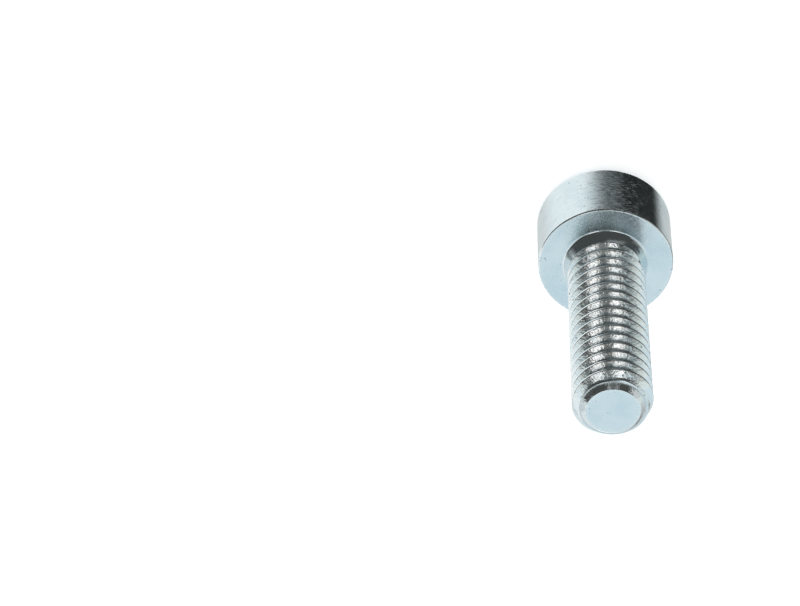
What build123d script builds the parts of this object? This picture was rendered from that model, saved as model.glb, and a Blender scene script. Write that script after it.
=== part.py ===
"""Hex socket cap screw with a thread along its whole shank, standing on its head with the tip up."""
from build123d import *
from math import ceil, radians, sqrt, tan
import os

# Head: a plain barrel whose top face rests on the ground
head_diameter = 7.0
head_height = 4.0
head_rim_height = 0.4
head_rim_width = 0.45
bearing_edge_chamfer = 0.06

# Hex socket in the head, with a shallow cone at its bottom and a countersunk mouth
socket_across_flats = 3.0
socket_depth = 2.0
socket_bottom_cone_angle = 150.0
socket_mouth_diameter = 3.7
socket_mouth_cone_angle = 90.0

# Shank: a smooth neck below the head, the thread, and a chamfered tip
shank_length = 12.0
neck_fillet_height = 0.45
neck_fillet_width = 0.4
neck_length = 0.6
tip_diameter = 2.66
tip_chamfer_angle = 45.0

# Thread: a right-hand metric V of 60 degrees
thread_diameter = 4.0
thread_pitch = 0.7
thread_flank_angle = 30.0

# Shares of the sharp V's height: flats at crest and root, pitch line below the crest,
# and how far the groove's cutting shape rises past the crest
crest_flat_share = 1 / 8
root_flat_share = 1 / 6
pitch_line_share = 3 / 8
groove_rise_share = 1 / 16

# How far the cutting shapes stand out of the solid
overrun = 0.2

# Counts, and a quarter turn in degrees
hexagon_sides = 6
arcs_per_turn = 3
quarter_turn = 90.0

# Sizes worked out from the above
head_radius = head_diameter / 2
thread_radius = thread_diameter / 2
tip_radius = tip_diameter / 2
screw_length = head_height + shank_length
sharp_v_height = thread_pitch / 2 / tan(radians(thread_flank_angle))
neck_radius = thread_radius - pitch_line_share * sharp_v_height
shoulder_height = (thread_radius - neck_radius) / tan(radians(thread_flank_angle))
tip_chamfer_height = (thread_radius - tip_radius) / tan(radians(tip_chamfer_angle))


def turned_blank():
    """Head, neck and shank as one turned body, before the socket and the thread are cut."""
    rim_start = (head_radius - head_rim_width, 0)
    rim_centre = (head_radius - head_rim_width, head_rim_height)
    rim_end = (head_radius, head_rim_height)
    barrel_end = (head_radius, head_height - bearing_edge_chamfer)
    bearing_edge = (head_radius - bearing_edge_chamfer, head_height)
    fillet_start = (neck_radius + neck_fillet_width, head_height)
    fillet_centre = (neck_radius + neck_fillet_width, head_height + neck_fillet_height)
    fillet_end = (neck_radius, head_height + neck_fillet_height)
    neck_end = (neck_radius, head_height + neck_length)
    shoulder_end = (thread_radius, head_height + neck_length + shoulder_height)
    chamfer_start = (thread_radius, screw_length - tip_chamfer_height)
    tip_edge = (tip_radius, screw_length)
    rim = EllipticalCenterArc(
        rim_centre, head_rim_width, head_rim_height, 3 * quarter_turn, arc_size=quarter_turn
    )
    neck_fillet = EllipticalCenterArc(
        fillet_centre, neck_fillet_width, neck_fillet_height, 2 * quarter_turn, arc_size=quarter_turn
    )
    outline = [
        Line((0, 0), rim_start),
        rim,
        Polyline(rim_end, barrel_end, bearing_edge, fillet_start),
        neck_fillet,
        Polyline(fillet_end, neck_end, shoulder_end, chamfer_start, tip_edge, (0, screw_length), (0, 0)),
    ]
    return revolve(Plane.XZ * make_face(outline), Axis.Z)


def hex_socket():
    """The space of the socket: a hexagonal prism, its bottom cone and its countersunk mouth."""
    hexagon = RegularPolygon(socket_across_flats / 2, hexagon_sides, major_radius=False)
    prism = Pos(0, 0, -overrun) * extrude(hexagon, socket_depth + overrun)
    bottom_radius = socket_across_flats / 2
    bottom_height = bottom_radius / tan(radians(socket_bottom_cone_angle / 2))
    bottom = Pos(0, 0, socket_depth + bottom_height / 2) * Cone(bottom_radius, 0, bottom_height)
    mouth_radius = socket_mouth_diameter / 2
    mouth_height = mouth_radius / tan(radians(socket_mouth_cone_angle / 2))
    mouth = Pos(0, 0, mouth_height / 2) * Cone(mouth_radius, 0, mouth_height)
    return prism + bottom + mouth


def thread_groove():
    """The V groove between the thread's turns, from beyond the tip to a run-out above the neck."""
    flank_slope = tan(radians(thread_flank_angle))
    groove_depth = sharp_v_height * (1 - crest_flat_share - root_flat_share)
    groove_rise = sharp_v_height * groove_rise_share
    root_half_width = sharp_v_height * root_flat_share * flank_slope
    half_width = root_half_width + (groove_depth + groove_rise) * flank_slope
    lower_root = (-groove_depth, -root_half_width)
    upper_root = (-groove_depth, root_half_width)
    upper_mouth = (groove_rise, half_width)
    lower_mouth = (groove_rise, -half_width)
    section = make_face(Polyline(lower_root, upper_root, upper_mouth, lower_mouth, lower_root))
    groove_end = head_height + neck_length + half_width
    arc_count = arcs_per_turn * ceil((screw_length - groove_end) / thread_pitch + 1)
    arc_rise = thread_pitch / arcs_per_turn
    arc_angle = 4 * quarter_turn / arcs_per_turn
    arc = Helix(thread_pitch, arc_rise, thread_radius)
    places = [Pos(0, 0, index * arc_rise) * Rot(0, 0, index * arc_angle) for index in range(arc_count)]
    path = Wire([place * arc for place in places])
    start = Plane(path @ 0, x_dir=(1, 0, 0), z_dir=(0, -1, 0))
    turns = sweep(start * section, path, is_frenet=True)
    run_out_length = sqrt(thread_radius**2 - (thread_radius - groove_depth) ** 2)
    run_out = extrude(start * section, run_out_length, dir=-(path % 0))
    return Pos(0, 0, groove_end) * (turns + run_out)


screw = turned_blank() - hex_socket() - thread_groove()

os.makedirs("parts", exist_ok=True)
export_step(screw, "parts/socket_screw.step")
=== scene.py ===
import math
from collections import namedtuple

import bmesh
import bpy
import numpy as np
from bpy.props import FloatProperty, FloatVectorProperty, IntProperty, PointerProperty
from mathutils import Matrix, Vector


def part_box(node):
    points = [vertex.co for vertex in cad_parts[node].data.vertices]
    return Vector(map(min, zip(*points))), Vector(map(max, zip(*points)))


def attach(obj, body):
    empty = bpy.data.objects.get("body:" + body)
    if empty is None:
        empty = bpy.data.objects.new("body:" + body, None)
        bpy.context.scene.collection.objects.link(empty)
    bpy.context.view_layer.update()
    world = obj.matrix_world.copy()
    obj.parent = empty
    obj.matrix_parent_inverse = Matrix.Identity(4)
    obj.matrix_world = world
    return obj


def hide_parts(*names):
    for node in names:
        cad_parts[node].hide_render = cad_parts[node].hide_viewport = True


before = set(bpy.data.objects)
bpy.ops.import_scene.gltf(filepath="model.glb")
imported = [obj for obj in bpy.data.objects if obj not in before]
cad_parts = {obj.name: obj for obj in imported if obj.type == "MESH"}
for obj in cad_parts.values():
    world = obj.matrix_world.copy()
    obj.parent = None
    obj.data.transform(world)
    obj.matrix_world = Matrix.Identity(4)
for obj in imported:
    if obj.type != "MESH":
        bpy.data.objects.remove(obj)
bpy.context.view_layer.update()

bl_info = {
    "name": "Hex Socket Cap Screw",
    "version": (1, 0, 0),
    "blender": (4, 5, 0),
    "location": "View3D > Sidebar > Screw",
    "description": "A zinc-plated hex socket cap screw with a rolled thread, and a stage showing its tip",
    "category": "Add Mesh",
}

node_name = "socket_screw"
node_low, node_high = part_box(node_name)
full_turn = 2.0 * math.pi

# Shares of the sharp V's height: flats at crest and root, pitch line below the crest,
# and how far the first groove's cut rises past the crest
crest_flat_share = 1 / 8
root_flat_share = 1 / 6
pitch_line_share = 3 / 8
groove_rise_share = 1 / 16

# Distances from the crest's middle, in pitches: to the pitch line, to the root's middle,
# and the stretch from flank to root over which the groove's rows are spread
to_pitch_line = 0.25
to_root = 0.5
groove_stretch = (0.24, 0.455)

# Small lengths of the shape, in metres
socket_corner_blend = 0.00004
fillet_lead = 0.0001
shoulder_blend = 0.00003
collar_blend = 0.00002
fillet_blend = 0.00003
lip_width = 0.00003
lip_stretch = 0.00004
weld_distance = 4e-7
sliver_distance = 2e-7

# Shares of the shape: the socket's cone in its flats, and each edge's rounding in the edge
socket_cone_share = 0.985
bearing_edge_cut = 0.6
tip_edge_cut = 0.41

# Points along each stretch of the outline
corner_steps = 5
socket_steps = 7
face_steps = 4
rim_steps = 9
barrel_steps = 8
bearing_steps = 9
fillet_steps = 10
lip_steps = 9
outer_chamfer_steps = 5
inner_chamfer_steps = 7
tip_face_steps = 9

# Edges sharper than this stay sharp in the shading
sharp_angle = math.radians(34.0)

# Where the plating is rubbed, flecked or dull, and where glints and shade are painted on it: widths and
# depths in metres, and shares
edge_wear_width = 0.00012
crest_wear_width = 0.00006
rim_wear_share = 0.6
barrel_share_of_radius = 0.985
grain_delay = 0.00008
grain_rise = 0.00025
barrel_grain = 0.35
chamfer_grain = 0.8
other_grain = 0.2
# Painted reflections on the barrel: the share of painted glints and dark specks on its scales away from the
# camera's side
least_glint = 0.1
face_tolerance = 0.00001
dull_rise = 0.00008
# Painted shade at the tip: a darkening in the lip's inner corner, and a painted shadow line along one side of
# the tip's edge
corner_dirt = 0.34
corner_dirt_width = 0.00004
edge_dirt_depth = 0.00007
edge_dirt_width = 0.00012
tip_face_margin = 1.001

# Ranges of noise over which each mark of the plating goes from none to full, or from full to none
patch_range = (0.35, 0.65)
wear_range = (0.40, 0.62)
pit_edge_range = (0.14, 0.26)
pit_choice_range = (0.55, 0.64)
# Noise over which the tip's painted shade goes from faint to full
dirt_range = (0.40, 0.60)
polish_range = (0.30, 0.70)
# The next two ranges place the barrel's painted pale glints and painted dark specks
glint_range = (0.53, 0.62)
dark_speck_range = (0.38, 0.47)

# Strengths of those marks
pit_darkness = 0.7
pit_relief = 0.3
# Strength of the painted dark specks on the barrel's scales
dark_speck_darkness = 0.65
# Faintest level of the tip's painted shade
thinnest_dirt = 0.6
patch_polish = 0.03
scale_flattening = (1.0, 1.0, 3.5)

# Places of the colour sockets on a Mix node
mix_share, mix_first, mix_second, mix_result = 0, 6, 7, 2

# Camera and studio
sensor_width = 36.0
clip_range = (0.005, 20.0)
plain_white = (1.0, 1.0, 1.0)
warm_white = (1.07, 1.0, 0.965)
dark_grey = (0.97, 1.0, 0.955)
least_fade = 0.01
card_columns = 65
card_rows = 17

# The floor's shade: its tint and its height above the floor, its columns in degrees from the camera's side,
# and its close and wide rows in metres from the head, the last just past the cards
shade_tint = (0.96, 1.0, 1.0)
shade_lift = 0.00002
shade_sides = (-88.0, 88.0)
shade_columns = 150
shade_close = (0.00004, 0.0040)
shade_close_rows = 12
shade_wide_start = 0.0046
shade_wide_rows = 24
shade_past_cards = 1.02

# Its brightness: the level at the left end, and then each change with its start and width in degrees, for
# the parts that the barrel, the crests and the neck mirror. Last, where one part goes over to the next, as
# a start and a width in metres from the head
barrel_level = 0.74
barrel_changes = ((0.28, -70.0, 30.0), (-0.82, -19.0, 24.0), (-0.17, -2.0, 28.0), (0.62, 48.0, 16.0))
crest_level = 1.16
crest_changes = ((-1.10, -20.0, 12.0), (0.14, -3.0, 6.0), (-0.14, 12.0, 14.0), (0.80, 63.0, 12.0))
horizon_level = 0.92
horizon_changes = ((-0.85, -56.0, 18.0), (0.20, 0.0, 4.0), (-0.20, 18.0, 12.0), (0.80, 63.0, 12.0))
barrel_to_crest = (0.0032, 0.0016)
crest_to_horizon = (0.012, 0.006)

# A card curved like the sky: sides and heights in degrees from the camera's side and the horizon,
# its tint and level, its distance as a share of the others', and the degrees in which its sides fade
Card = namedtuple("Card", "name sides heights tint level nearness fade", defaults=(1.0, (0.0, 0.0)))

cards = (
    Card("front_low", (-110.0, 112.0), (-3.0, 30.0), dark_grey, 0.07, fade=(14.0, 50.0)),
    Card("front_high", (-95.0, 114.0), (30.0, 54.0), dark_grey, 0.07, fade=(26.0, 42.0)),
    Card("lens_low", (-12.0, 20.0), (34.0, 54.0), dark_grey, 0.15, nearness=0.98, fade=(6.0, 6.0)),
    Card("lens_high", (-20.0, 32.0), (53.0, 84.0), dark_grey, 0.15, fade=(7.0, 7.0)),
    Card("right_top", (30.0, 56.0), (54.5, 76.0), warm_white, 1.52),
    Card("left_top", (-51.0, -18.0), (54.5, 76.0), warm_white, 1.40),
    Card("left_edge", (-84.0, -51.0), (54.0, 72.0), dark_grey, 0.06, fade=(10.0, 0.0)),
    Card("right_edge", (55.5, 70.0), (54.0, 68.0), dark_grey, 0.30, fade=(0.0, 10.0)),
    Card("right_low", (62.0, 92.0), (14.0, 30.0), plain_white, 0.72, nearness=0.9),
    Card("left_white", (-150.0, -104.0), (14.0, 52.0), plain_white, 1.05, nearness=0.9),
    Card("back_low", (100.0, 250.0), (0.0, 10.0), plain_white, 0.7),
)


def length(name, description, default):
    """A length in metres."""
    return FloatProperty(
        name=name, description=description, default=default, unit="LENGTH", subtype="DISTANCE", precision=6
    )


def angle(name, description, degrees):
    """An angle, given in degrees."""
    return FloatProperty(
        name=name, description=description, default=math.radians(degrees), unit="ROTATION", subtype="ANGLE"
    )


def colour(name, description, default):
    """A linear colour."""
    return FloatVectorProperty(
        name=name, description=description, default=default, subtype="COLOR", min=0.0, max=1.0
    )


def amount(name, description, default):
    """A plain number."""
    return FloatProperty(name=name, description=description, default=default, precision=4)


def number(name, description, default):
    """A whole number."""
    return IntProperty(name=name, description=description, default=default)


class ScrewSizes(bpy.types.PropertyGroup):
    """Sizes of the screw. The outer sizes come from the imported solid."""

    head_diameter: length("Head diameter", "Across the head's barrel", node_high[0] - node_low[0])
    screw_length: length("Screw length", "From the head's top face to the tip", node_high[2] - node_low[2])
    head_height: length("Head height", "From the head's top face to the bearing face", 0.004)
    rim_height: length("Rim height", "Height of the rounding round the head's top", 0.0005)
    rim_width: length("Rim width", "Width of the rounding round the head's top", 0.0006)
    bearing_edge: length("Bearing edge", "Broken edge between barrel and bearing face", 0.00006)
    edge_round: length("Edge rounding", "How far the plating rounds the tip's edge", 0.00005)
    socket_flats: length("Socket across flats", "Size of the hex key", 0.003)
    socket_depth: length("Socket depth", "From the head's top face to the end of the flats", 0.002)
    socket_corner: length("Socket corner", "Largest radius in the socket's rounded corners", 0.00171)
    socket_cone: angle("Socket cone", "Angle of the cone at the socket's bottom", 150.0)
    mouth_diameter: length("Mouth diameter", "Countersink at the socket's mouth", 0.0037)
    fillet_height: length("Fillet height", "Where the thread's rows begin on the neck fillet", 0.00045)
    fillet_width: length("Fillet width", "Neck fillet on the bearing face", 0.00041)
    fillet_length: length("Fillet length", "Where the neck fillet has run out into the thread", 0.0018)
    fillet_corner: length("Fillet corner", "Rounding where the fillet leaves the bearing face", 0.00007)
    neck_length: length("Neck length", "From the bearing face to the thread's shoulder", 0.0006)
    thread_diameter: length("Thread diameter", "Across the crests", 0.004)
    thread_pitch: length("Thread pitch", "Advance in one turn", 0.0007)
    flank_angle: angle("Flank angle", "Half of the thread's V", 30.0)
    flank_swell: length("Flank swell", "How far rolling swells the thread's flanks", 0.000012)
    crest_round: length("Crest rounding", "Softness of the rolled crest", 0.000012)
    root_round: length("Root rounding", "Softness of the rolled root", 0.00005)
    tip_growth: length("Tip growth", "Length over which the thread fades towards the tip", 0.00006)
    tip_edge: length("Tip edge", "Diameter of the collar behind the chamfer", 0.00333)
    tip_chamfer: angle("Tip chamfer", "Between the tip's chamfer and the axis", 45.0)
    tip_lip: length("Tip lip", "Step that the rolled thread stands out of the chamfer", 0.000068)
    lip_depth: length("Lip depth", "From the tip to the lip", 0.00027)
    tip_depth: length("Tip depth", "From the tip to the end of the climbing rows", 0.00037)
    tip_diameter: length("Tip diameter", "Across the flat tip", 0.00266)
    # Side and width of the barrel's painted glints and dark specks, near the camera's side
    glint_side: angle("Scaly side", "Middle of the scaly plating on the barrel, from X", 68.0)
    glint_width: angle("Scaly width", "Turn over which the scaly plating fades", 22.0)
    # Side and width of the painted shadow line along the tip's edge
    dirty_side: angle("Dirty side", "Side of the tip whose edge holds most dirt, from X", -49.0)
    dirty_width: angle("Dirty width", "Turn over which that dirt fades", 32.0)
    columns: number("Columns", "Points round the axis, a multiple of six", 240)
    edge_rows: number("Edge rows", "Rows over each rounded edge of the crest", 4)
    groove_rows: number("Groove rows", "Rows from each flank to the root", 4)


class PlatingLook(bpy.types.PropertyGroup):
    """Colours and surface of the zinc plating."""

    base: colour("Base", "Colour of clean plating", (0.76, 0.82, 0.84))
    tint: colour("Tint", "Bluish cast in patches", (0.66, 0.76, 0.80))
    worn: colour("Worn", "Brighter metal on rubbed edges", (0.86, 0.88, 0.88))
    # The pit colour is also the colour of the painted dark specks on the barrel's scales
    pit: colour("Pit", "Dark of small pits", (0.20, 0.25, 0.27))
    # Colour of the painted shade at the tip's lip corner and edge
    dirt: colour("Dirt", "Dirt at the tip's edge", (0.05, 0.055, 0.06))
    smooth_roughness: amount("Smooth roughness", "Lowest roughness", 0.06)
    dull_roughness: amount("Dull roughness", "Highest roughness", 0.14)
    face_roughness: amount("Face roughness", "Added roughness of the bearing face", 0.14)
    thread_roughness: amount("Thread roughness", "Added roughness of the rolled thread", 0.06)
    # Added roughness where shade is painted at the tip
    dirt_roughness: amount("Dirt roughness", "Added roughness of dirt", 0.7)
    # How much less metallic the barrel's painted pale glints are
    glint_paleness: amount("Fleck bloom", "How far a pale bloom dulls the barrel's flecks", 0.13)
    grain_size: length("Grain size", "Size of the fine flecks", 0.00013)
    grain_depth: length("Grain depth", "Height of the fine flecks", 0.000014)
    wave_size: length("Wave size", "Size of the broad unevenness", 0.00035)
    wave_depth: length("Wave depth", "Height of the broad unevenness", 0.000006)
    patch_size: length("Patch size", "Size of the bluish patches", 0.0016)
    scale_size: length("Scale size", "Width of the barrel's scales", 0.00026)
    pit_spacing: length("Pit spacing", "Distance between places for pits", 0.00022)
    pit_group: length("Pit group", "Size of the areas that have pits", 0.0006)


class StageLook(bpy.types.PropertyGroup):
    """Camera, floor and light."""

    lens: amount("Lens", "Focal length in millimetres", 126.1)
    distance: length("Distance", "From the lens to the bearing face along the view", 0.145)
    tilt: angle("Tilt", "Between the view and the screw's axis", 36.9)
    roll: angle("Roll", "Turn of the camera about its view", -2.71)
    azimuth: angle("Azimuth", "Side of the screw that the camera is on, from X", 73.0)
    across: amount("Across", "Bearing face right of the picture's middle, in picture widths", 0.2570)
    up: amount("Up", "Bearing face above the picture's middle, in picture widths", 0.0473)
    floor_size: length("Floor size", "Side of the floor", 6.0)
    floor_colour: colour("Floor", "Pale floor", (0.86, 0.87, 0.87))
    floor_fill: amount("Floor fill", "Extra light of the floor as the camera and the metal see it", 0.40)
    sky: colour("Sky", "What the metal mirrors all round", (0.78, 0.89, 0.94))
    sky_level: amount("Sky level", "Strength of that sky", 0.97)
    card_distance: length("Card distance", "From the screw to the studio cards", 0.30)


def soft_max(a, b, blend):
    """The higher of a and b, rounded where they differ by less than two blends.

    There it is the higher + blend / 2 * (1 - difference / (2 blend))^2.
    """
    near = np.clip(1.0 - np.abs(a - b) / (2.0 * blend), 0.0, 1.0)
    return np.maximum(a, b) + 0.5 * blend * near**2


def soft_min(a, b, blend):
    """The lower of a and b, rounded like the higher of the two."""
    return -soft_max(-a, -b, blend)


def rise(value, start, width):
    """Zero before the start, one past the width, and an even S between.

    With t = (value - start) / width it is t^2 (3 - 2t). A negative width rises towards lower values.
    """
    t = np.clip((value - start) / width, 0.0, 1.0)
    return t * t * (3.0 - 2.0 * t)


def bell(distance, width):
    """One at no distance, and exp(-(distance / width)^2) away from there."""
    return np.exp(-((distance / width) ** 2))


def pairs(radius, height):
    """A path of (radius, height) points, where either may be one number for all."""
    return np.stack(np.broadcast_arrays(radius, height), axis=1)


def rounded(points, cuts):
    """A path of (radius, height) points through the given corners.

    Each corner is replaced by a parabola that leaves the one side and meets the other at the corner's
    cut from the corner: (1-t)^2 start + 2t(1-t) corner + t^2 end.
    """
    points = np.asarray(points, float)
    t = np.linspace(0.0, 1.0, corner_steps)[:, None]
    parts = [points[:1]]
    for before, corner, after, cut in zip(points[:-2], points[1:-1], points[2:], cuts):
        start = corner + cut * (before - corner) / np.linalg.norm(before - corner)
        end = corner + cut * (after - corner) / np.linalg.norm(after - corner)
        parts.append((1 - t) ** 2 * start + 2 * t * (1 - t) * corner + t**2 * end)
    parts.append(points[-1:])
    return np.concatenate(parts)


def shaped(radius, height, angles):
    """Rows of points round the axis: x = radius cos angle, y = radius sin angle, z = height."""
    radius, height, angles = np.broadcast_arrays(radius, height, angles)
    return np.stack([radius * np.cos(angles), radius * np.sin(angles), height], axis=2)


def turned(path, angles):
    """A path of (radius, height) points, turned round the axis."""
    return shaped(path[:, :1], path[:, 1:], angles)


def socket_rows(sizes, angles):
    """The socket from the middle of its bottom to its mouth.

    A hexagon has radius = apothem / cos(angle to the middle of the nearest flat), limited softly at its
    corners. The rows run down the bottom cone, out to the hexagon, down its flats and out over the
    countersink, whose cone of 45 degrees meets each flat where mouth radius - height = hexagon radius.
    """
    apothem = sizes.socket_flats / 2
    mouth = sizes.mouth_diameter / 2
    depth = sizes.socket_depth
    sixth = full_turn / 6
    hexagon = apothem / np.cos(np.mod(angles, sixth) - sixth / 2)
    hexagon = soft_min(hexagon, sizes.socket_corner, socket_corner_blend)
    cone_radius = apothem * socket_cone_share
    cone_height = apothem / math.tan(sizes.socket_cone / 2)
    edge = mouth - hexagon
    t = np.linspace(0.0, 1.0, socket_steps)[:, None]
    cone = shaped(cone_radius * t, depth + cone_height * (1 - t), angles)
    ledge = shaped(cone_radius + (hexagon - cone_radius) * t, depth, angles)
    flats = shaped(hexagon, depth + (edge - depth) * t, angles)
    sink = shaped(hexagon + edge * t, edge * (1 - t), angles)
    return np.concatenate([cone, ledge, flats, sink])


def head_rows(sizes, angles):
    """The head from the socket's mouth to where the thread's rows begin, turned from one path.

    The rim is a quarter ellipse and the bearing edge a chamfer with rounded ends. The fillet follows the
    blank's radius, after a small rounding where it leaves the bearing face.
    """
    radius = sizes.head_diameter / 2
    height = sizes.head_height
    chamfer = sizes.bearing_edge
    quarter = np.linspace(0.0, math.pi / 2, rim_steps)
    rim_radius = radius - sizes.rim_width + sizes.rim_width * np.sin(quarter)
    rim_height = sizes.rim_height * (1 - np.cos(quarter))
    fillet_height = height + np.linspace(0.0, sizes.fillet_height, fillet_steps)
    fillet_radius = blank_radius(sizes, fillet_height)
    face = np.linspace(sizes.mouth_diameter / 2, rim_radius[0], face_steps)[:-1]
    barrel = np.linspace(sizes.rim_height, height - chamfer * 2, barrel_steps)[1:]
    edge = rounded(
        [
            (radius, height - chamfer * 2),
            (radius, height - chamfer),
            (radius - chamfer, height),
            (radius - chamfer * 2, height),
        ],
        [chamfer * bearing_edge_cut] * 2,
    )
    bearing = np.linspace(radius - chamfer * 2, fillet_radius[0], bearing_steps)[1:-1]
    corner = rounded(
        [
            (fillet_radius[0] + fillet_lead, height),
            (fillet_radius[0], height),
            (fillet_radius[2], fillet_height[2]),
        ],
        [sizes.fillet_corner],
    )
    path = np.concatenate(
        [
            pairs(face, 0.0),
            pairs(rim_radius, rim_height),
            pairs(radius, barrel),
            edge,
            pairs(bearing, height),
            corner[1:-1],
            pairs(fillet_radius, fillet_height)[2:],
        ]
    )
    return turned(path, angles)


def sharp_height(sizes):
    """Height of the thread's sharp V: half a pitch over the flank's slope."""
    return sizes.thread_pitch / 2 / math.tan(sizes.flank_angle)


def neck_radius(sizes):
    """Radius of the rolled blank, at the thread's pitch line."""
    return sizes.thread_diameter / 2 - pitch_line_share * sharp_height(sizes)


def root_radius(sizes):
    """Radius at the bottom of the groove."""
    return sizes.thread_diameter / 2 - (1 - crest_flat_share - root_flat_share) * sharp_height(sizes)


def blank_radius(sizes, height):
    """Radius of neck and fillet: root + (start - root) (1 - height / fillet length)^2.

    The height counts from the bearing face. The start is the neck's radius and the fillet's width, so
    the long fillet runs out in the thread's grooves.
    """
    rest = np.clip(1.0 - (height - sizes.head_height) / sizes.fillet_length, 0.0, 1.0)
    root = root_radius(sizes)
    return root + (neck_radius(sizes) + sizes.fillet_width - root) * rest**2


def crest_start(sizes):
    """Height of a crest at angle zero: half a pitch past the middle of the first groove."""
    depth = (1 - crest_flat_share + groove_rise_share) * sharp_height(sizes)
    half_width = depth * math.tan(sizes.flank_angle)
    return sizes.head_height + sizes.neck_length + half_width + sizes.thread_pitch / 2


def crest_edge(sizes):
    """Distance from the crest's middle to its edge, in pitches, where the flank reaches the crest."""
    climb = sizes.thread_diameter / 2 - neck_radius(sizes) - sizes.flank_swell
    return to_pitch_line - climb * math.tan(sizes.flank_angle) / sizes.thread_pitch


def chamfer_radius(sizes, height):
    """Radius of the tip's chamfer: tip radius + depth tan(chamfer angle), plus the lip past its depth."""
    depth = sizes.screw_length - height
    lip = sizes.tip_lip * rise(depth, sizes.lip_depth, lip_width)
    return sizes.tip_diameter / 2 + depth * math.tan(sizes.tip_chamfer) + lip


def collar_height(sizes):
    """Height of the collar's edge, where the chamfer past its lip reaches the edge's radius."""
    climb = (sizes.tip_edge - sizes.tip_diameter) / 2 - sizes.tip_lip
    return sizes.screw_length - climb / math.tan(sizes.tip_chamfer)


def thread_radius(sizes, angles, height):
    """Radius of the rolled thread at an angle and a height.

    The height less the helix's own rise, in pitches, gives the distance x to the nearest crest. The flank
    is pitch radius + swell + (1/4 - x) pitch / tan(flank angle), held softly above the root and below the
    crest. Near the neck the crest is limited by a cone as steep as a flank, and the ridge stands on the neck
    and its fillet. Near the tip the ridge fades to the root, behind a collar with a sharp edge that falls off
    like a flank. The chamfer limits all.
    """
    neck = neck_radius(sizes)
    root = root_radius(sizes)
    slope = math.tan(sizes.flank_angle)
    turns = (height - crest_start(sizes)) / sizes.thread_pitch - angles / full_turn
    x = np.abs(turns - np.round(turns))
    flank = neck + sizes.flank_swell + (to_pitch_line - x) * sizes.thread_pitch / slope
    form = soft_max(flank, root, sizes.root_round)
    grown = neck + (height - sizes.head_height - sizes.neck_length) / slope
    top = soft_min(grown, sizes.thread_diameter / 2, shoulder_blend)
    form = soft_min(form, top, sizes.crest_round)
    edge = sizes.tip_edge / 2
    behind = collar_height(sizes) - height
    form = root + rise(behind, 0.0, sizes.tip_growth) * (form - root)
    form = soft_max(form, np.where(behind < 0, edge, edge - behind / slope), collar_blend)
    form = soft_max(form, blank_radius(sizes, height), fillet_blend)
    return np.minimum(form, chamfer_radius(sizes, height))


def turn_shares(sizes):
    """Where the rows of one turn lie between a crest and the next, in pitches.

    They are the crest's middle, the rounding on either side of the crest's edge, the flank and the groove's
    rounding, and the same mirrored at the root's middle. The crest's rounding reaches two blends up and down.
    """
    edge = crest_edge(sizes)
    reach = 2 * sizes.crest_round * math.tan(sizes.flank_angle) / sizes.thread_pitch
    rounding = np.linspace(edge - reach, edge + reach, sizes.edge_rows)
    half = np.concatenate([rounding, np.linspace(*groove_stretch, sizes.groove_rows)])
    return np.concatenate([[0.0], half, [to_root], 1.0 - half[::-1]])


def shank_rows(sizes, angles):
    """The thread as rows that climb with the helix.

    A row lies at crest start + pitch * (turns + share) + pitch * angle / full turn, held between the
    fillet's end and the tip's level rows, so the last point of a row is the first of the row one turn on.
    """
    pitch = sizes.thread_pitch
    start = crest_start(sizes)
    low = sizes.head_height + sizes.fillet_height
    high = sizes.screw_length - sizes.tip_depth
    turns = np.arange(math.floor((low - start) / pitch) - 1, math.ceil((high - start) / pitch) + 1)
    shares = (turns[:, None] + turn_shares(sizes)).reshape(-1, 1)
    height = np.clip(start + pitch * shares + pitch * angles / full_turn, low, high)
    return shaped(thread_radius(sizes, angles, height), height, angles)


def tip_rows(sizes, angles):
    """The chamfer with its lip as level rows, then the tip's rounded edge and flat face to the pole."""
    tip = sizes.tip_diameter / 2
    top = sizes.screw_length
    cut = sizes.edge_round * tip_edge_cut
    out = cut * math.sin(sizes.tip_chamfer)
    down = cut * math.cos(sizes.tip_chamfer)
    edge = rounded([(tip + out, top - down), (tip, top), (tip - cut * 2, top)], [cut])
    face = np.linspace(tip - cut * 2, 0.0, tip_face_steps)[1:]
    lip = np.linspace(sizes.lip_depth + lip_stretch, sizes.lip_depth, lip_steps)
    outer = np.linspace(sizes.tip_depth, lip[0], outer_chamfer_steps)[1:-1]
    inner = np.linspace(lip[-1], down, inner_chamfer_steps)[1:-1]
    level = top - np.concatenate([outer, lip, inner])[:, None]
    chamfer = shaped(thread_radius(sizes, angles, level), level, angles)
    end = turned(np.concatenate([edge, pairs(face, top)]), angles)
    return np.concatenate([chamfer, end])


def axis_distance(points):
    """Distance of each point from the screw's axis."""
    return np.hypot(points[:, 0], points[:, 1])


def turn_from(points, side):
    """How far each point is turned away from a side, up to half a turn."""
    turn = np.arctan2(points[:, 1], points[:, 0]) - side
    return np.abs(np.mod(turn + math.pi, full_turn) - math.pi)


def on_barrel(sizes, points):
    """Which points are on the head's barrel."""
    outside = axis_distance(points) > sizes.head_diameter / 2 * barrel_share_of_radius
    return outside & (points[:, 2] < sizes.head_height)


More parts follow.
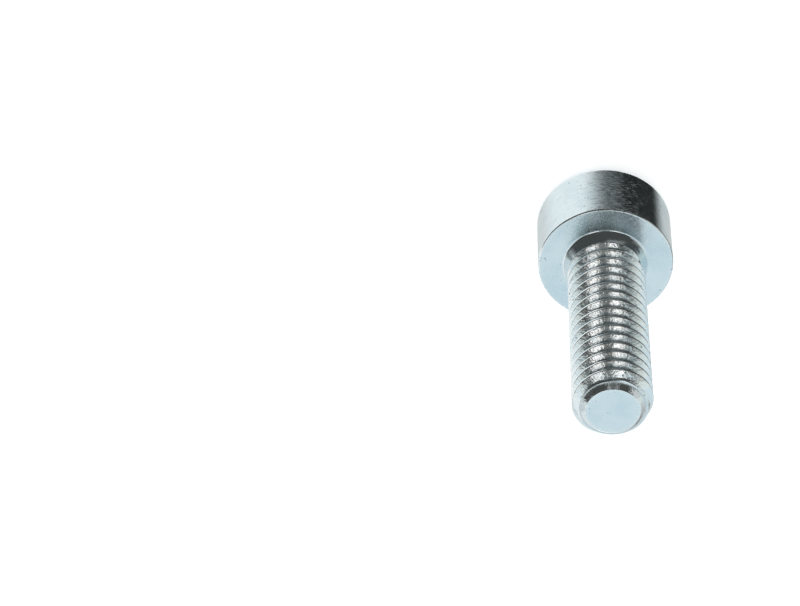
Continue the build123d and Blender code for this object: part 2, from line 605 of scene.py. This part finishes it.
def edge_wear(sizes, points):
    """How much each point is rubbed: near one on crests and outer edges, and less away from them.

    With d the distance to the nearest edge ring in the plane of radius and height, wear is exp(-(d/w)^2).
    """
    radius = axis_distance(points)
    height = points[:, 2]
    head = sizes.head_diameter / 2
    half_edge = sizes.bearing_edge / 2
    rings = np.array(
        [
            (sizes.mouth_diameter / 2, 0.0),
            (head, sizes.rim_height * rim_wear_share),
            (head - half_edge, sizes.head_height - half_edge),
            (sizes.tip_diameter / 2, sizes.screw_length),
        ]
    )
    gaps = np.hypot(radius[:, None] - rings[:, 0], height[:, None] - rings[:, 1])
    rubbed = bell(gaps.min(axis=1), edge_wear_width)
    crest = bell(radius - sizes.thread_diameter / 2, crest_wear_width)
    in_thread = height > sizes.head_height + sizes.neck_length
    return np.maximum(rubbed, np.where(in_thread, crest, 0.0))


def grain_share(sizes, points):
    """How strongly each point shows the fine flecks: fully on the thread, less elsewhere.

    The thread counts from just past the fillet's rows to the lip, and the chamfer from there to the tip.
    """
    height = points[:, 2]
    start = sizes.head_height + sizes.fillet_height + grain_delay
    end = sizes.screw_length - sizes.lip_depth
    thread = rise(height, start, grain_rise) * (height < end)
    barrel = barrel_grain * on_barrel(sizes, points)
    chamfer = chamfer_grain * (height >= end) * (axis_distance(points) > sizes.tip_diameter / 2)
    return np.maximum(np.maximum(thread, barrel), np.maximum(chamfer, other_grain))


def scale_glint_share(sizes, points):
    """How strongly the barrel's scales carry painted reflections as pale and dark specks, on the barrel
    alone.

    There it is least + (1 - least) exp(-(turn from the glint side / width)^2), with the glint side near the
    camera's side.
    """
    side = bell(turn_from(points, sizes.glint_side), sizes.glint_width)
    return (least_glint + (1.0 - least_glint) * side) * on_barrel(sizes, points)


def face_dullness(sizes, points):
    """How dull each point is: one on the bearing face between the neck and its edge, and zero elsewhere."""
    level = np.abs(points[:, 2] - sizes.head_height) < face_tolerance
    return rise(axis_distance(points), neck_radius(sizes) + sizes.fillet_width, dull_rise) * level


def lip_dirt(sizes, points):
    """How much shade is painted at each point, at the tip alone.

    The lip's inner corner gets corner painted shade * exp(-(distance / width)^2) all round, a painted
    darkening in the crease. The chamfer next to the tip's edge gets exp(-(d / width)^2) exp(-(turn from the
    shaded side / width)^2), with d the distance from the depth of the darkest shade: a painted shadow line
    along one side of the edge.
    """
    radius = axis_distance(points)
    depth = sizes.screw_length - points[:, 2]
    tip = sizes.tip_diameter / 2
    corner = tip + sizes.lip_depth * math.tan(sizes.tip_chamfer)
    inner = corner_dirt * bell(np.hypot(depth - sizes.lip_depth, radius - corner), corner_dirt_width)
    side = bell(turn_from(points, sizes.dirty_side), sizes.dirty_width)
    edge = side * bell(depth - edge_dirt_depth, edge_dirt_width)
    return np.maximum(inner, edge * (radius > tip * tip_face_margin))


def grid_mesh(name, points):
    """A mesh of quads over a grid of points."""
    count, across = points.shape[:2]
    index = np.arange(count * across).reshape(count, across)
    quads = np.stack([index[:-1, :-1], index[1:, :-1], index[1:, 1:], index[:-1, 1:]], axis=2)
    mesh = bpy.data.meshes.new(name)
    mesh.from_pydata(points.reshape(-1, 3), [], quads.reshape(-1, 4).tolist())
    return mesh


def closed_mesh(name, rows):
    """A mesh over a grid of rows, welded at its seam and poles, with its faces outward.

    It is closed when each of its edges has two faces.
    """
    mesh = grid_mesh(name, rows)
    work = bmesh.new()
    work.from_mesh(mesh)
    bmesh.ops.remove_doubles(work, verts=work.verts, dist=weld_distance)
    bmesh.ops.dissolve_degenerate(work, edges=work.edges, dist=sliver_distance)
    if work.calc_volume(signed=True) < 0:
        bmesh.ops.reverse_faces(work, faces=work.faces)
    work.to_mesh(mesh)
    work.free()
    edges = np.empty(len(mesh.loops), np.int32)
    mesh.loops.foreach_get("edge_index", edges)
    open_edges = np.count_nonzero(np.bincount(edges, minlength=len(mesh.edges)) != 2)
    if open_edges:
        raise RuntimeError(f"{name}: {open_edges} edges are not closed")
    mesh.shade_smooth()
    mesh.set_sharp_from_angle(angle=sharp_angle)
    return mesh


def store(mesh, name, values):
    """Keeps one value for each point of a mesh, for its material to read."""
    mesh.attributes.new(name, "FLOAT", "POINT").data.foreach_set("value", values)


def link(obj):
    """Puts an object into the scene."""
    bpy.context.scene.collection.objects.link(obj)
    return obj


def opaque(tint):
    """A colour with full cover, as a shader's socket takes it."""
    return (*tint, 1.0)


def empty_tree(owner):
    """The node tree of a material or a world, with nothing in it."""
    owner.use_nodes = True
    owner.node_tree.nodes.clear()
    return owner.node_tree


def wire(tree, kind, inputs=None, **settings):
    """A node with its settings, and its inputs set to values or linked to sockets."""
    node = tree.nodes.new(kind)
    for key, value in settings.items():
        setattr(node, key, value)
    for key, value in (inputs or {}).items():
        if isinstance(value, bpy.types.NodeSocket):
            tree.links.new(value, node.inputs[key])
        else:
            node.inputs[key].default_value = value
    return node


def stored(tree, name):
    """The value that the mesh keeps under a name."""
    return wire(tree, "ShaderNodeAttribute", attribute_name=name).outputs["Fac"]


def ramp(tree, value, span, result=(0.0, 1.0)):
    """A value mapped from one range to another, held at both ends."""
    low, high = span
    first, last = result
    inputs = {"Value": value, "From Min": low, "From Max": high, "To Min": first, "To Max": last}
    return wire(tree, "ShaderNodeMapRange", inputs).outputs["Result"]


def mixed(tree, share, a, b):
    """A colour between a and b."""
    inputs = {mix_share: share, mix_first: a, mix_second: b}
    return wire(tree, "ShaderNodeMix", inputs, data_type="RGBA").outputs[mix_result]


def maths(tree, operation, a, b):
    """One arithmetic step on two values."""
    return wire(tree, "ShaderNodeMath", {0: a, 1: b}, operation=operation).outputs[0]


def added(tree, value, share, most):
    """A value plus a share of the most that is added."""
    return maths(tree, "ADD", value, maths(tree, "MULTIPLY", share, most))


def noise(tree, place, size, detail=3.0, roughness=0.55):
    """Noise whose features are about the given size."""
    inputs = {"Vector": place, "Scale": 1.0 / size, "Detail": detail, "Roughness": roughness}
    return wire(tree, "ShaderNodeTexNoise", inputs).outputs["Fac"]


def bump(tree, height, depth, **below):
    """A normal bent by a height of the given depth, over another normal if one is given."""
    inputs = {"Height": height, "Strength": 1.0, "Distance": depth, **below}
    return wire(tree, "ShaderNodeBump", inputs).outputs["Normal"]


def plating_material(look):
    """Zinc plating: patchy bluish metal with fine flecks, uneven polish, pits, rubbed edges, painted glints
    and painted shade.

    The colour goes from base to tint in patches, to worn metal on rubbed edges, to the pits' dark in pits and
    in painted dark specks between the barrel's scales, and to painted shade at the tip's lip and edge. The
    painted shade and the pale glints painted on the barrel's scales are less metallic. Roughness follows the
    grain and the patches, and is higher on the bearing face, the thread and the painted shade.
    """
    material = bpy.data.materials.new("zinc_plated_steel")
    tree = empty_tree(material)
    place = wire(tree, "ShaderNodeTexCoord").outputs["Object"]
    flat = wire(tree, "ShaderNodeMapping", {"Vector": place, "Scale": scale_flattening}).outputs["Vector"]
    share = stored(tree, "grain_share")
    # How strongly the barrel's scales carry painted glints and dark specks, strongest near the camera's side
    scaly_glints = stored(tree, "scale_glint_share")
    patches = noise(tree, place, look.patch_size)
    wave = noise(tree, place, look.wave_size, detail=2.0)
    grain = noise(tree, place, look.grain_size, roughness=0.5)
    scales = noise(tree, flat, look.scale_size, detail=1.5)
    cells = wire(tree, "ShaderNodeTexVoronoi", {"Vector": place, "Scale": 1.0 / look.pit_spacing})
    spots = ramp(tree, cells.outputs["Distance"], pit_edge_range, (1.0, 0.0))
    chosen = ramp(tree, noise(tree, place, look.pit_group, detail=1.0), pit_choice_range)
    pits = maths(tree, "MULTIPLY", spots, chosen)
    rubbed = maths(tree, "MULTIPLY", stored(tree, "edge_wear"), ramp(tree, grain, wear_range))
    # Painted pale glints and painted dark specks on the barrel's scales, standing in for what their relief
    # would mirror
    flecks = maths(tree, "MULTIPLY", ramp(tree, scales, glint_range), scaly_glints)
    gaps = maths(tree, "MULTIPLY", ramp(tree, scales, dark_speck_range, (dark_speck_darkness, 0.0)), scaly_glints)
    # The tip's painted shade at the lip corner and along one side of the edge, broken up by the wave noise
    painted_shade_strength = ramp(tree, wave, dirt_range, (thinnest_dirt, 1.0))
    dirt = maths(tree, "MULTIPLY", stored(tree, "lip_dirt"), painted_shade_strength)

    shade = mixed(tree, ramp(tree, patches, patch_range), opaque(look.base), opaque(look.tint))
    shade = mixed(tree, rubbed, shade, opaque(look.worn))
    shade = mixed(tree, maths(tree, "MULTIPLY", pits, pit_darkness), shade, opaque(look.pit))
    # Painted dark specks between the barrel's scales, in the pits' dark colour
    shade = mixed(tree, gaps, shade, opaque(look.pit))
    # Painted shade at the tip's lip corner and edge
    shade = mixed(tree, dirt, shade, opaque(look.dirt))

    # The painted pale glints and the tip's painted shade are less metallic
    metal = maths(tree, "SUBTRACT", 1.0, maths(tree, "MULTIPLY", flecks, look.glint_paleness))
    metal = maths(tree, "MULTIPLY", metal, maths(tree, "SUBTRACT", 1.0, dirt))

    polish = ramp(tree, grain, polish_range, (look.smooth_roughness, look.dull_roughness))
    polish = maths(tree, "ADD", polish, ramp(tree, patches, patch_range, (-patch_polish, patch_polish)))
    polish = added(tree, polish, stored(tree, "face_dullness"), look.face_roughness)
    polish = added(tree, polish, share, look.thread_roughness)
    # More roughness where shade is painted at the tip
    polish = added(tree, polish, dirt, look.dirt_roughness)

    sunk = maths(tree, "MULTIPLY", pits, pit_relief)
    relief = maths(tree, "SUBTRACT", maths(tree, "MULTIPLY", grain, share), sunk)
    normal = bump(tree, relief, look.grain_depth, Normal=bump(tree, wave, look.wave_depth))

    inputs = {"Base Color": shade, "Metallic": metal, "Roughness": polish, "Normal": normal}
    shader = wire(tree, "ShaderNodeBsdfPrincipled", inputs)
    wire(tree, "ShaderNodeOutputMaterial", {"Surface": shader.outputs[0]})
    return material


class SCREW_OT_build(bpy.types.Operator):
    """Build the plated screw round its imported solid"""

    bl_idname = "screw.build"
    bl_label = "Build screw"
    bl_options = {"REGISTER", "UNDO"}

    def execute(self, context):
        sizes = context.scene.screw_sizes
        angles = np.linspace(0.0, full_turn, sizes.columns + 1)
        stretches = (socket_rows, head_rows, shank_rows, tip_rows)
        mesh = closed_mesh("plated_screw", np.concatenate([rows(sizes, angles) for rows in stretches]))
        points = np.empty(len(mesh.vertices) * 3)
        mesh.vertices.foreach_get("co", points)
        points = points.reshape(-1, 3)
        store(mesh, "edge_wear", edge_wear(sizes, points))
        store(mesh, "grain_share", grain_share(sizes, points))
        # Mask of the barrel's painted glints and dark specks
        store(mesh, "scale_glint_share", scale_glint_share(sizes, points))
        store(mesh, "face_dullness", face_dullness(sizes, points))
        # Mask of the painted shade at the tip's lip corner and edge
        store(mesh, "lip_dirt", lip_dirt(sizes, points))
        mesh.materials.append(plating_material(context.scene.plating_look))
        piece = link(bpy.data.objects.new("plated_screw", mesh))
        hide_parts(node_name)
        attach(piece, "root")
        return {"FINISHED"}


def camera_axes(look):
    """The camera's right, up and back directions.

    Back leans from the screw's axis by the tilt towards the camera's side; up points away from the tip, so
    the tip is at the bottom of the picture; right and up turn by the roll.
    """
    side = Vector((math.cos(look.azimuth), math.sin(look.azimuth), 0.0))
    axis = Vector((0.0, 0.0, 1.0))
    back = side * math.sin(look.tilt) + axis * math.cos(look.tilt)
    up = side * math.cos(look.tilt) - axis * math.sin(look.tilt)
    right = up.cross(back)
    turned_right = right * math.cos(look.roll) - up * math.sin(look.roll)
    turned_up = right * math.sin(look.roll) + up * math.cos(look.roll)
    return turned_right, turned_up, back


def camera_place(look, sizes):
    """Where the camera stands so that the bearing face's middle falls on its place in the picture."""
    right, up, back = camera_axes(look)
    scale = look.distance * sensor_width / look.lens
    bearing = Vector((0.0, 0.0, sizes.head_height))
    return bearing - right * (look.across * scale) - up * (look.up * scale) + back * look.distance


def camera_side(look, sizes):
    """The angle about the screw's axis at which the camera really stands."""
    place = camera_place(look, sizes)
    return math.atan2(place.y, place.x)


def glow_material(name, tint):
    """A plain card whose brightness is its tint times the shade stored at each point."""
    material = bpy.data.materials.new(name)
    tree = empty_tree(material)
    glow = wire(tree, "ShaderNodeEmission", {"Color": opaque(tint), "Strength": stored(tree, "shade")})
    wire(tree, "ShaderNodeOutputMaterial", {"Surface": glow.outputs[0]})
    return material


def grid_card(name, points, shade, tint):
    """A card over a grid of points that shows a tint times its shade at each point.

    The camera doesn't see it and it throws no shadow; only what the screw mirrors changes.
    """
    mesh = grid_mesh(name, points)
    store(mesh, "shade", np.broadcast_to(shade, points.shape[:2]).ravel())
    mesh.materials.append(glow_material(name, tint))
    card = link(bpy.data.objects.new(name, mesh))
    card.visible_camera = False
    card.visible_shadow = False
    card.visible_diffuse = False


def studio_card(look, sizes, card):
    """A card curved like the sky, from one side angle to another and one elevation to another.

    Side angles count from the camera's side to the right of the picture. The shade is the card's level, and
    goes over to the sky's own level along each side within the fade's angle there.
    """
    left, right = card.sides
    across = np.linspace(left, right, card_columns)
    from_left = rise(across, left, max(card.fade[0], least_fade))
    from_right = rise(across, right, -max(card.fade[1], least_fade))
    shade = look.sky_level + (card.level - look.sky_level) * np.minimum(from_left, from_right)
    turn = camera_side(look, sizes) - np.radians(across)
    climb = np.radians(np.linspace(*card.heights, card_rows))[:, None]
    reach = look.card_distance * card.nearness
    points = shaped(reach * np.cos(climb), reach * np.sin(climb) + float(node_high[2]) / 2, turn)
    grid_card(card.name, points, shade, card.tint)


def changing(value, level, changes):
    """A level that changes along a value: the level plus the sum of change * S curve(start, width)."""
    return level + sum(change * rise(value, start, width) for change, start, width in changes)


def floor_shade(look, sizes):
    """A card on the floor in front of the head, dark in its middle, which the metal mirrors as dark bands.

    A point of the barrel at angle a from the camera's side mirrors the floor along 2a, so the card covers
    barrel radius at a + s at 2a, for a in degrees over the band and s over the mirrored distance. The
    barrel mirrors the near part, the thread's crests the middle, and the neck and the crests' undersides
    the far part. Each part is white on the left, dark in front and pale on the far right.
    """
    a = np.linspace(*shade_sides, shade_columns)[:, None]
    close = np.linspace(*shade_close, shade_close_rows)
    wide = np.geomspace(shade_wide_start, look.card_distance * shade_past_cards, shade_wide_rows)
    s = np.concatenate([close, wide])
    near = changing(a, barrel_level, barrel_changes)
    middle = changing(a, crest_level, crest_changes)
    far = changing(a, horizon_level, horizon_changes)
    shade = near + (middle - near) * rise(s, *barrel_to_crest)
    shade = shade + (far - shade) * rise(s, *crest_to_horizon)
    turn = np.radians(a)
    side = camera_side(look, sizes)
    radius = sizes.head_diameter / 2
    x = radius * np.cos(side - turn) + s * np.cos(side - 2 * turn)
    y = radius * np.sin(side - turn) + s * np.sin(side - 2 * turn)
    grid_card("floor_shade", np.stack([x, y, np.full_like(x, shade_lift)], axis=2), shade, shade_tint)


def floor_material(look):
    """A pale floor that takes shadows, filled up to white for what looks at it."""
    material = bpy.data.materials.new("pale_floor")
    tree = empty_tree(material)
    path = wire(tree, "ShaderNodeLightPath")
    looked_at = maths(tree, "MAXIMUM", path.outputs["Is Camera Ray"], path.outputs["Is Glossy Ray"])
    fill = maths(tree, "MULTIPLY", looked_at, look.floor_fill)
    paint = wire(tree, "ShaderNodeBsdfDiffuse", {"Color": opaque(look.floor_colour)})
    glow = wire(tree, "ShaderNodeEmission", {"Color": opaque(plain_white), "Strength": fill})
    both = wire(tree, "ShaderNodeAddShader", {0: paint.outputs[0], 1: glow.outputs[0]})
    wire(tree, "ShaderNodeOutputMaterial", {"Surface": both.outputs[0]})
    return material


def floor(look):
    """The floor as one square, at the height the screw stands on."""
    half = look.floor_size / 2
    corners = np.array([[(-half, -half, 0.0), (-half, half, 0.0)], [(half, -half, 0.0), (half, half, 0.0)]])
    mesh = grid_mesh("floor", corners)
    mesh.materials.append(floor_material(look))
    link(bpy.data.objects.new("floor", mesh))


def world_light(look):
    """A plain white sky, in which the metal mirrors a faint blue."""
    world = bpy.data.worlds.new("studio")
    tree = empty_tree(world)
    path = wire(tree, "ShaderNodeLightPath")
    white = wire(tree, "ShaderNodeBackground", {"Color": opaque(plain_white), "Strength": 1.0})
    sky = wire(tree, "ShaderNodeBackground", {"Color": opaque(look.sky), "Strength": look.sky_level})
    inputs = {0: path.outputs["Is Glossy Ray"], 1: white.outputs[0], 2: sky.outputs[0]}
    seen = wire(tree, "ShaderNodeMixShader", inputs)
    wire(tree, "ShaderNodeOutputWorld", {"Surface": seen.outputs[0]})
    bpy.context.scene.world = world


def camera_view(look, sizes):
    """The camera at its place, turned to its axes."""
    camera = bpy.data.cameras.new("camera")
    camera.lens = look.lens
    camera.sensor_width = sensor_width
    camera.clip_start, camera.clip_end = clip_range
    view = link(bpy.data.objects.new("camera", camera))
    turn = Matrix(camera_axes(look)).transposed().to_4x4()
    view.matrix_world = Matrix.Translation(camera_place(look, sizes)) @ turn
    bpy.context.scene.camera = view


class SCREW_OT_stage(bpy.types.Operator):
    """Set the floor, the light and the camera that looks at the screw's tip"""

    bl_idname = "screw.stage"
    bl_label = "Set stage"
    bl_options = {"REGISTER", "UNDO"}

    def execute(self, context):
        look = context.scene.stage_look
        sizes = context.scene.screw_sizes
        floor(look)
        floor_shade(look, sizes)
        for card in cards:
            studio_card(look, sizes, card)
        world_light(look)
        camera_view(look, sizes)
        context.scene.view_settings.view_transform = "Standard"
        return {"FINISHED"}


class SCREW_PT_panel(bpy.types.Panel):
    """Sizes, look and stage of the screw"""

    bl_idname = "SCREW_PT_panel"
    bl_label = "Hex socket cap screw"
    bl_space_type = "VIEW_3D"
    bl_region_type = "UI"
    bl_category = "Screw"

    def draw(self, context):
        for group in (context.scene.screw_sizes, context.scene.plating_look, context.scene.stage_look):
            box = self.layout.box()
            for key in group.bl_rna.properties.keys():
                if key not in {"rna_type", "name"}:
                    box.prop(group, key)
        self.layout.operator(SCREW_OT_build.bl_idname)
        self.layout.operator(SCREW_OT_stage.bl_idname)


classes = (ScrewSizes, PlatingLook, StageLook, SCREW_OT_build, SCREW_OT_stage, SCREW_PT_panel)


def register():
    """Add the classes and the scene's settings."""
    for cls in classes:
        bpy.utils.register_class(cls)
    bpy.types.Scene.screw_sizes = PointerProperty(type=ScrewSizes)
    bpy.types.Scene.plating_look = PointerProperty(type=PlatingLook)
    bpy.types.Scene.stage_look = PointerProperty(type=StageLook)


def unregister():
    """Remove the scene's settings and the classes."""
    del bpy.types.Scene.stage_look
    del bpy.types.Scene.plating_look
    del bpy.types.Scene.screw_sizes
    for cls in reversed(classes):
        bpy.utils.unregister_class(cls)


def main():
    """Build the screw and its stage."""
    register()
    bpy.ops.screw.build()
    bpy.ops.screw.stage()


if __name__ == "__main__":
    main()
